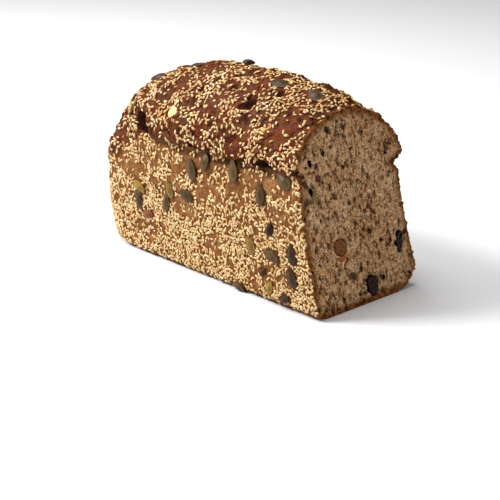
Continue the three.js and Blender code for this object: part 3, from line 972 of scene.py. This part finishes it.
def scatter(name, seed_model, density_name, per_square_mm, spacing, rise, seed):
    """A piece of its own: copies of the seed on the loaf, one mesh."""
    tree = bpy.data.node_groups.new(name, "GeometryNodeTree")
    tree.interface.new_socket("Geometry", in_out="INPUT", socket_type="NodeSocketGeometry")
    tree.interface.new_socket("Geometry", in_out="OUTPUT", socket_type="NodeSocketGeometry")
    ground = add(tree, "GeometryNodeObjectInfo", {"Object": loaf}).outputs["Geometry"]
    model = add(tree, "GeometryNodeObjectInfo", {"Object": seed_model}).outputs["Geometry"]
    density = add(tree, "GeometryNodeInputNamedAttribute", {"Name": density_name})
    points = add(
        tree, "GeometryNodeDistributePointsOnFaces",
        {"Mesh": ground, "Distance Min": spacing * MM, "Density Max": per_square_mm / MM**2,
         "Density Factor": density.outputs["Attribute"], "Seed": seed},
        distribute_method="POISSON",
    ).outputs
    placed = add(
        tree, "GeometryNodeInstanceOnPoints",
        {"Points": points["Points"], "Instance": model, "Rotation": points["Rotation"],
         "Scale": random_number(tree, SMALLEST, LARGEST, seed + 1)},
    )
    raised = add(
        tree, "GeometryNodeTranslateInstances",
        {"Instances": placed.outputs["Instances"], "Translation": (0, 0, rise * MM)},
    )
    turn = random_turn(tree, (-TIP, -TIP, -math.pi), (TIP, TIP, math.pi), seed + 2)
    turned = add(
        tree, "GeometryNodeRotateInstances",
        {"Instances": raised.outputs["Instances"], "Rotation": turn},
    )
    toned = add(
        tree, "GeometryNodeStoreNamedAttribute",
        {"Geometry": turned.outputs["Instances"], "Name": "tone",
         "Value": random_number(tree, 0, 1, seed + 3)},
        data_type="FLOAT", domain="INSTANCE",
    )
    real = add(tree, "GeometryNodeRealizeInstances", {"Geometry": toned.outputs["Geometry"]})
    add(tree, "NodeGroupOutput", {"Geometry": real.outputs["Geometry"]})
    piece = new_piece(bpy.ops.mesh.primitive_plane_add, name, size=MM)
    piece.modifiers.new("scatter", "NODES").node_group = tree
    apply_modifiers(piece)
    print(name, triangles(piece) // triangles(seed_model), "seeds,", triangles(piece), "triangles")
    return piece


sesame_near = scatter("sesame_near", sesame, "near_sesame", 0.5, 1.45, rise=0.25, seed=1)
sesame_far = scatter("sesame_far", sesame, "far_sesame", 0.3, 1.5, rise=0.1, seed=11)
sesame_crown = scatter("sesame_crown", sesame, "crown_sesame", 0.3, 1.7, rise=0.25, seed=21)
bpy.data.objects.remove(sesame)

# %% [markdown]
# ## Dried fruit at the cut
# Two raisins and a sultana were cut through by the knife. Each is a wrinkled ball in its pocket,
# sliced along the plane of the cut like the loaf was, so that its flesh lies flush with the crumb.
# A fine remesh and a last displacement then make its outline and its flesh uneven.

# %% Make the fruit
wrinkles = bpy.data.textures.new("raisin wrinkles", "MUSGRAVE")
wrinkles.noise_scale = 2.6 * MM
torn_flesh = clouds("torn flesh", 2.2)
FRUIT_QUAD = 0.4
fruits = {}
for name, fruit in FRUIT.items():
    piece = ball_at_cut(name + "_fruit", **fruit)
    displace(piece, wrinkles, 0.7)
    apply_modifiers(piece)
    slice_off(piece)
    even_quads(piece, FRUIT_QUAD)
    displace(piece, torn_flesh, 2.0, level=0.6)
    apply_modifiers(piece)
    bpy.ops.object.shade_smooth()
    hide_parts(name)
    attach(piece, "root")
    fruits[name] = piece
    print(name, triangles(piece), "triangles")

# %% [markdown]
# The knife also went through seeds that were baked into the dough. They show in the crumb as
# pale green ovals, and a few specks of red and orange fruit lie beside them.

# %% Make the seeds and specks in the crumb
# Each by y, z, its size as depth, width and height, its turn in degrees and its tone.
BITS_IN_CRUMB = [
    (-20.1, 22.4, (5, 3.6, 8.5), -35, 1.0), (-25.3, 34, (4, 2.6, 6), 20, 1.0),
    (-27.4, 57.4, (4, 2.6, 5), 35, 0.9), (-35.5, 74, (4, 4, 9), -10, 0.8),
    (-30, 103, (4, 4, 7), 40, 0.85), (-17.4, 32.8, (4, 7, 3), 10, 0.5),
    (-30.9, 84.9, (4, 5, 4), 0, 0.1), (6.4, 57.5, (3, 3.4, 3), 0, 0.2),
    (-40.5, 49.6, (3, 2.4, 3), 0, 0.15), (16, 108, (3, 3.4, 2.2), 30, 0.5),
    (33, 96, (3, 2.2, 3.4), 10, 0.15), (9, 70, (3, 2.2, 2.6), 0, 0.5),
]
PROUD = 0.25
bits = []
for y, z, size, turn, tone in BITS_IN_CRUMB:
    bit = ball_at_cut("bit", y, z, size, turn, behind=0.2)
    displace(bit, torn_flesh, 0.9)
    apply_modifiers(bit)
    slice_off(bit, beyond=PROUD)
    bpy.ops.object.shade_smooth_by_angle(angle=math.radians(45))
    set_attribute(bit, "tone", [tone] * len(bit.data.vertices))
    bits.append(bit)
bits_in_crumb = join(bits, "bits_in_crumb")
print("bits in the crumb:", len(bits), "with", triangles(bits_in_crumb), "triangles")

for piece in (sesame_near, sesame_far, sesame_crown, pumpkin_seeds, oat_flake, bits_in_crumb):
    flatten_underside(piece)
    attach(piece, "root")

# %% [markdown]
# ## Floor and light
# The loaf stands on a plain white table. A small soft lamp from the left gives the seeds their
# shadows, a larger one overhead softens them, and a faint one fills in from the right. A pale
# world keeps the loaf's own shadow light, as in a photograph for a shop.

# %% Floor, lights and world
TABLE_GREY = (0.76, 0.76, 0.77, 1)
floor = new_piece(bpy.ops.mesh.primitive_plane_add, "floor", size=6, location=(0, 0, -0.2 * MM))
table = bpy.data.materials.new("white table")
table.use_nodes = True
finish = table.node_tree.nodes["Principled BSDF"].inputs
finish["Base Color"].default_value = TABLE_GREY
finish["Roughness"].default_value = 0.9
floor.data.materials.append(table)


def soft_light(name, azimuth, elevation, distance, size, power):
    """A square lamp that looks at the loaf from a direction given as the camera's is."""
    a, e = math.radians(azimuth), math.radians(elevation)
    direction = Vector((math.sin(a) * math.cos(e), -math.cos(a) * math.cos(e), math.sin(e)))
    aim = direction.to_track_quat("Z", "Y").to_euler()
    bpy.ops.object.light_add(type="AREA", location=direction * distance, rotation=aim)
    lamp = bpy.context.active_object
    lamp.name = name
    lamp.data.size = size
    lamp.data.energy = power


soft_light("key", azimuth=-45, elevation=42, distance=1.5, size=0.5, power=24)
soft_light("overhead", azimuth=-80, elevation=74, distance=1.5, size=1.0, power=15)
soft_light("fill", azimuth=80, elevation=30, distance=1.8, size=1.2, power=3.4)

world = bpy.data.worlds.new("studio")
bpy.context.scene.world = world
world.use_nodes = True
backdrop = world.node_tree.nodes["Background"].inputs
backdrop["Color"].default_value = (1, 1, 1, 1)
backdrop["Strength"].default_value = 0.22
bpy.context.scene.view_settings.view_transform = "Standard"
bpy.context.scene.view_settings.look = "Medium High Contrast"

# %% [markdown]
# ## Building materials
# A material is a tree of nodes. These helpers add the kinds of node that the finishes below use
# most, so that each finish reads as a list of what it is made of. Patterns are sized in
# millimetres: a noise's scale counts how many times it repeats in a metre, so it is 1000 over
# the size.


# %% Material helpers
def linear(channel):
    """One channel of a colour as a screen shows it, from 0 to 255, as Blender's linear light."""
    return ((channel / 255 + 0.055) / 1.055) ** 2.4 if channel > 10 else channel / 255 / 12.92


def colour(red, green, blue):
    return (linear(red), linear(green), linear(blue), 1)


def attribute(tree, name):
    """What the piece's mesh says under this name."""
    return add(tree, "ShaderNodeAttribute", attribute_name=name).outputs["Fac"]


def arithmetic(tree, operation, *values):
    return add(tree, "ShaderNodeMath", dict(enumerate(values)), operation=operation).outputs[0]


def mixed(tree, share, low, high):
    """Goes from one colour to another by a share."""
    return add(tree, "ShaderNodeMix", {0: share, 6: low, 7: high}, data_type="RGBA").outputs[2]


def stretched(tree, value, low, high, to_low=0.0, to_high=1.0, way="LINEAR"):
    """Stretches one range of a value over another, and stays at its ends outside it."""
    ends = {"From Min": low, "From Max": high, "To Min": to_low, "To Max": to_high}
    return add(tree, "ShaderNodeMapRange", {"Value": value} | ends, interpolation_type=way).outputs[0]


def bumped(tree, height, strength, distance, over=None):
    """A normal tilted by a height, over a coarser one if that is given."""
    bump = add(tree, "ShaderNodeBump", dict(Strength=strength, Distance=distance * MM, Height=height))
    if over is not None:
        feed(tree, bump.inputs["Normal"], over)
    return bump.outputs[0]


def new_group(name, **defaults):
    """A shader node group with a number for each input, and a mask as its output."""
    group = bpy.data.node_groups.new(name, "ShaderNodeTree")
    for socket, value in defaults.items():
        made = group.interface.new_socket(socket, in_out="INPUT", socket_type="NodeSocketFloat")
        made.default_value = value
    group.interface.new_socket("Mask", in_out="OUTPUT", socket_type="NodeSocketFloat")
    given = group.nodes.new("NodeGroupInput").outputs
    return group, given, group.nodes.new("NodeGroupOutput").inputs["Mask"]


def use(tree, group, **inputs):
    """Places a node group in a material and gives its mask."""
    return add(tree, "ShaderNodeGroup", inputs, node_tree=group).outputs["Mask"]


def new_material(name, specular):
    """A finish, its tree, and the sockets of its shader, with the strength of its shine set."""
    material = bpy.data.materials.new(name)
    material.use_nodes = True
    shader = material.node_tree.nodes["Principled BSDF"].inputs
    shader["Specular IOR Level"].default_value = specular
    return material, material.node_tree, shader


# %% [markdown]
# Two patterns are node groups. "Mottle" comes back in every finish: it is a soft mask of cloudy
# patches of a given size. "Pores" is a mask of small pits for the crumb, stretched upright as the
# gas bubbles in a loaf are, because the dough rises.

# %% Node groups: mottle and pores
mottle, given, mask = new_group("Mottle", Size=5.0, Low=0.4, High=0.6)
place_in_loaf = add(mottle, "ShaderNodeTexCoord").outputs["Object"]
per_metre = arithmetic(mottle, "DIVIDE", 1000.0, given["Size"])
cloud = add(
    mottle, "ShaderNodeTexNoise",
    dict(Vector=place_in_loaf, Scale=per_metre, Detail=4.0, Roughness=0.55),
)
feed(mottle, mask, stretched(mottle, cloud.outputs[0], given["Low"], given["High"], way="SMOOTHSTEP"))

pores, given, mask = new_group("Pores", Size=1.6, Share=0.45, Edge=0.05, Stretch=1.8)
place_in_loaf = add(pores, "ShaderNodeTexCoord").outputs["Object"]
upright = arithmetic(pores, "DIVIDE", 1.0, given["Stretch"])
squash = add(pores, "ShaderNodeCombineXYZ", dict(X=1.0, Y=1.0, Z=upright)).outputs[0]
squashed = add(pores, "ShaderNodeVectorMath", {0: place_in_loaf, 1: squash}, operation="MULTIPLY")
per_metre = arithmetic(pores, "DIVIDE", 1000.0, given["Size"])
foam = add(
    pores, "ShaderNodeTexNoise",
    dict(Vector=squashed.outputs[0], Scale=per_metre, Detail=2.5, Roughness=0.6, Distortion=0.6),
)
shore = arithmetic(pores, "SUBTRACT", given["Share"], given["Edge"])
holes = stretched(pores, foam.outputs[0], shore, given["Share"], 1.0, 0.0, way="SMOOTHSTEP")
feed(pores, mask, holes)

# %% [markdown]
# ## Crust
# The tin kept the walls tan, and the open oven turned the crown a red-brown that shines a little,
# so it is less rough. The "crown" attribute goes from the one to the other, and mottling breaks
# both up. Where sesame lies thick, the crust between the seeds is darker: partly its own deeper
# brown, partly painted shade. In the tears and other hollows, and in the crease under the near
# lip, painted shade makes it dark, and it is dull.

# %% Crust material
WALL_ROUGHNESS, CROWN_ROUGHNESS = 0.75, 0.33
crust, tree, shader = new_material("baked crust", specular=0.12)
on_crown = attribute(tree, "crown")
broad = use(tree, mottle, Size=16.0, Low=0.35, High=0.65)
medium = use(tree, mottle, Size=5.0, Low=0.35, High=0.65)
fine = use(tree, mottle, Size=1.3, Low=0.35, High=0.65)
wall_tan = mixed(tree, broad, colour(176, 138, 94), colour(128, 90, 56))
wall_tan = mixed(tree, medium, wall_tan, colour(140, 98, 62))
# Where sesame lies thick the wall is darker: partly the crust's own deeper brown, partly painted shade
# between the seeds.
wall_tan = mixed(tree, attribute(tree, "near_sesame"), wall_tan, colour(132, 84, 44))
crown_brown = mixed(tree, broad, colour(112, 50, 12), colour(54, 22, 5))
crown_brown = mixed(tree, medium, crown_brown, colour(108, 60, 20))
skin_colour = mixed(tree, on_crown, wall_tan, crown_brown)
speck_brown = mixed(tree, on_crown, colour(104, 62, 30), colour(66, 26, 10))
skin_colour = mixed(tree, arithmetic(tree, "MULTIPLY", fine, 0.6), skin_colour, speck_brown)
# Painted shade: the crust darkens with depth into tears, pockets and bubbles, and along the crease under
# the near lip; it is also made dull there.
torn = stretched(tree, attribute(tree, "depth"), 0.7, 3.4)
patchy = stretched(tree, medium, 0.0, 1.0, 0.9, 0.45)
crease = arithmetic(tree, "MULTIPLY", attribute(tree, "crease"), patchy)
torn = arithmetic(tree, "MAXIMUM", torn, crease)
feed(tree, shader["Base Color"], mixed(tree, torn, skin_colour, colour(40, 17, 7)))
dull = stretched(tree, on_crown, 0.0, 1.0, WALL_ROUGHNESS, CROWN_ROUGHNESS)
feed(tree, shader["Roughness"], arithmetic(tree, "MAXIMUM", dull, torn))
wrinkle = bumped(tree, medium, strength=0.5, distance=0.8)
feed(tree, shader["Normal"], bumped(tree, fine, strength=0.45, distance=0.5, over=wrinkle))

# %% [markdown]
# ## Crumb
# The crumb of a wholegrain loaf is grey-brown and full of fine upright pores. Near the crust it
# turns a deeper tan, which "depth" tells, and "rind" gives the ragged brown band of the crust
# itself. The pores' darkness is painted shade, in two ways: the fine ones are only painted dark
# and bumped, and the larger ones, which "pore" tells, are real hollows of the mesh that are
# painted dark as well.

# %% Crumb material
crumb, tree, shader = new_material("crumb", specular=0.2)
broad = use(tree, mottle, Size=22.0, Low=0.3, High=0.7)
medium = use(tree, mottle, Size=3.0, Low=0.35, High=0.65)
pale = use(tree, mottle, Size=1.0, Low=0.5, High=0.64)
blotch = use(tree, mottle, Size=9.0, Low=0.42, High=0.62)
small_pores = use(tree, pores, Size=1.5, Share=0.43, Edge=0.08, Stretch=1.8)
soft = mixed(tree, broad, colour(214, 186, 146), colour(192, 152, 108))
soft = mixed(tree, medium, soft, colour(166, 118, 78))
soft = mixed(tree, arithmetic(tree, "MULTIPLY", blotch, 0.45), soft, colour(148, 104, 68))
soft = mixed(tree, pale, soft, colour(228, 196, 156))
ragged_depth = arithmetic(tree, "MULTIPLY_ADD", medium, 1.6, attribute(tree, "depth"))
near_crust = stretched(tree, ragged_depth, 2.0, 6.5, 1.0, 0.0)
soft = mixed(tree, near_crust, soft, colour(140, 92, 50))
# Painted shade: the fine pores are painted dark.
soft = mixed(tree, arithmetic(tree, "MULTIPLY", small_pores, 0.6), soft, colour(88, 54, 30))
# Painted shade: the larger pores, real hollows, are painted dark too.
large_pore_shade = arithmetic(tree, "MULTIPLY", attribute(tree, "pore"), 0.8)
soft = mixed(tree, large_pore_shade, soft, colour(74, 42, 22))
rind_brown = mixed(tree, medium, colour(160, 102, 48), colour(84, 48, 20))
feed(tree, shader["Base Color"], mixed(tree, attribute(tree, "rind"), soft, rind_brown))
shader["Roughness"].default_value = 0.85
hollows = arithmetic(tree, "SUBTRACT", 1.0, small_pores)
feed(tree, shader["Normal"], bumped(tree, hollows, strength=0.9, distance=1.2))

# %% Give the loaf its two finishes
loaf.data.materials.append(crust)
loaf.data.materials.append(crumb)
for face in loaf.data.polygons:
    share = sum(cuts[vertex] for vertex in face.vertices) / len(face.vertices)
    face.material_index = 1 if share > 0.5 and face.normal.dot(CUT_NORMAL) > 0.1 else 0

# %% [markdown]
# ## Seeds and fruit
# All seeds and fruit share one recipe: a scale of colours that the "tone" of each seed picks
# from, broken up by fine streaks. Sesame goes from pale to toasted, and on the crown it took more
# of the oven's heat. Pumpkin seeds go from reddish brown through dark grey to olive, and what the
# knife met in the crumb from dark red through orange to pale green. Fruit and flake have one
# colour each, so their scale has the same colour at both ends.


# %% Seed and fruit materials
def toned_material(name, tones, streak, roughness, specular=0.3, size=1.2, low=0.45, share=0.5):
    """A finish whose colour follows the seed's tone, with streaks of another colour in it."""
    material, tree, shader = new_material(name, specular)
    scale = add(tree, "ShaderNodeValToRGB", dict(Fac=attribute(tree, "tone")))
    first, *between, last = tones.items()
    scale.color_ramp.elements[0].color = colour(*first[1])
    scale.color_ramp.elements[1].color = colour(*last[1])
    for place, shade in between:
        scale.color_ramp.elements.new(place).color = colour(*shade)
    streaks = arithmetic(tree, "MULTIPLY", use(tree, mottle, Size=size, Low=low, High=0.7), share)
    feed(tree, shader["Base Color"], mixed(tree, streaks, scale.outputs[0], colour(*streak)))
    shader["Roughness"].default_value = roughness
    return material


cream = toned_material("sesame", {0: (234, 211, 166), 1: (196, 158, 104)}, (162, 118, 68), 0.5)
toasted = toned_material(
    "toasted sesame", {0: (230, 206, 160), 1: (186, 142, 88)}, (146, 98, 50), 0.4
)
oat = toned_material(
    "oat", {0: (226, 200, 142), 1: (226, 200, 142)}, (184, 146, 86), 0.6, size=1.5
)
dark_fruit = toned_material(
    "raisin flesh", {0: (52, 20, 14), 1: (52, 20, 14)}, (12, 7, 8), 0.35, size=2.0
)
amber_fruit = toned_material(
    "sultana flesh", {0: (128, 80, 32), 1: (128, 80, 32)}, (48, 24, 8), 0.4, size=2.2
)
green = toned_material(
    "pumpkin seed",
    {0: (124, 80, 46), 0.14: (50, 28, 20), 0.4: (72, 52, 32), 0.65: (98, 76, 44), 1: (150, 120, 50)},
    (48, 34, 20), 0.42, specular=0.22, size=1.4,
)
cut_bits = toned_material(
    "seeds and specks in the crumb",
    {0: (84, 30, 20), 0.2: (112, 48, 26), 0.5: (164, 100, 48), 0.8: (136, 116, 76),
     1: (184, 164, 122)},
    (96, 66, 34), 0.5, specular=0.25, low=0.4, share=0.4,
)
for piece, material in (
    (sesame_near, cream), (sesame_far, cream), (sesame_crown, toasted), (pumpkin_seeds, green),
    (oat_flake, oat), (bits_in_crumb, cut_bits),
    (fruits["raisin_low"], dark_fruit), (fruits["raisin_side"], dark_fruit),
    (fruits["sultana"], amber_fruit),
):
    piece.data.materials.clear()
    piece.data.materials.append(material)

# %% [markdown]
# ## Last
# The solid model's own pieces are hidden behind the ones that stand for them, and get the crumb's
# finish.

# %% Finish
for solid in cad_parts.values():
    solid.data.materials.clear()
    solid.data.materials.append(crumb)
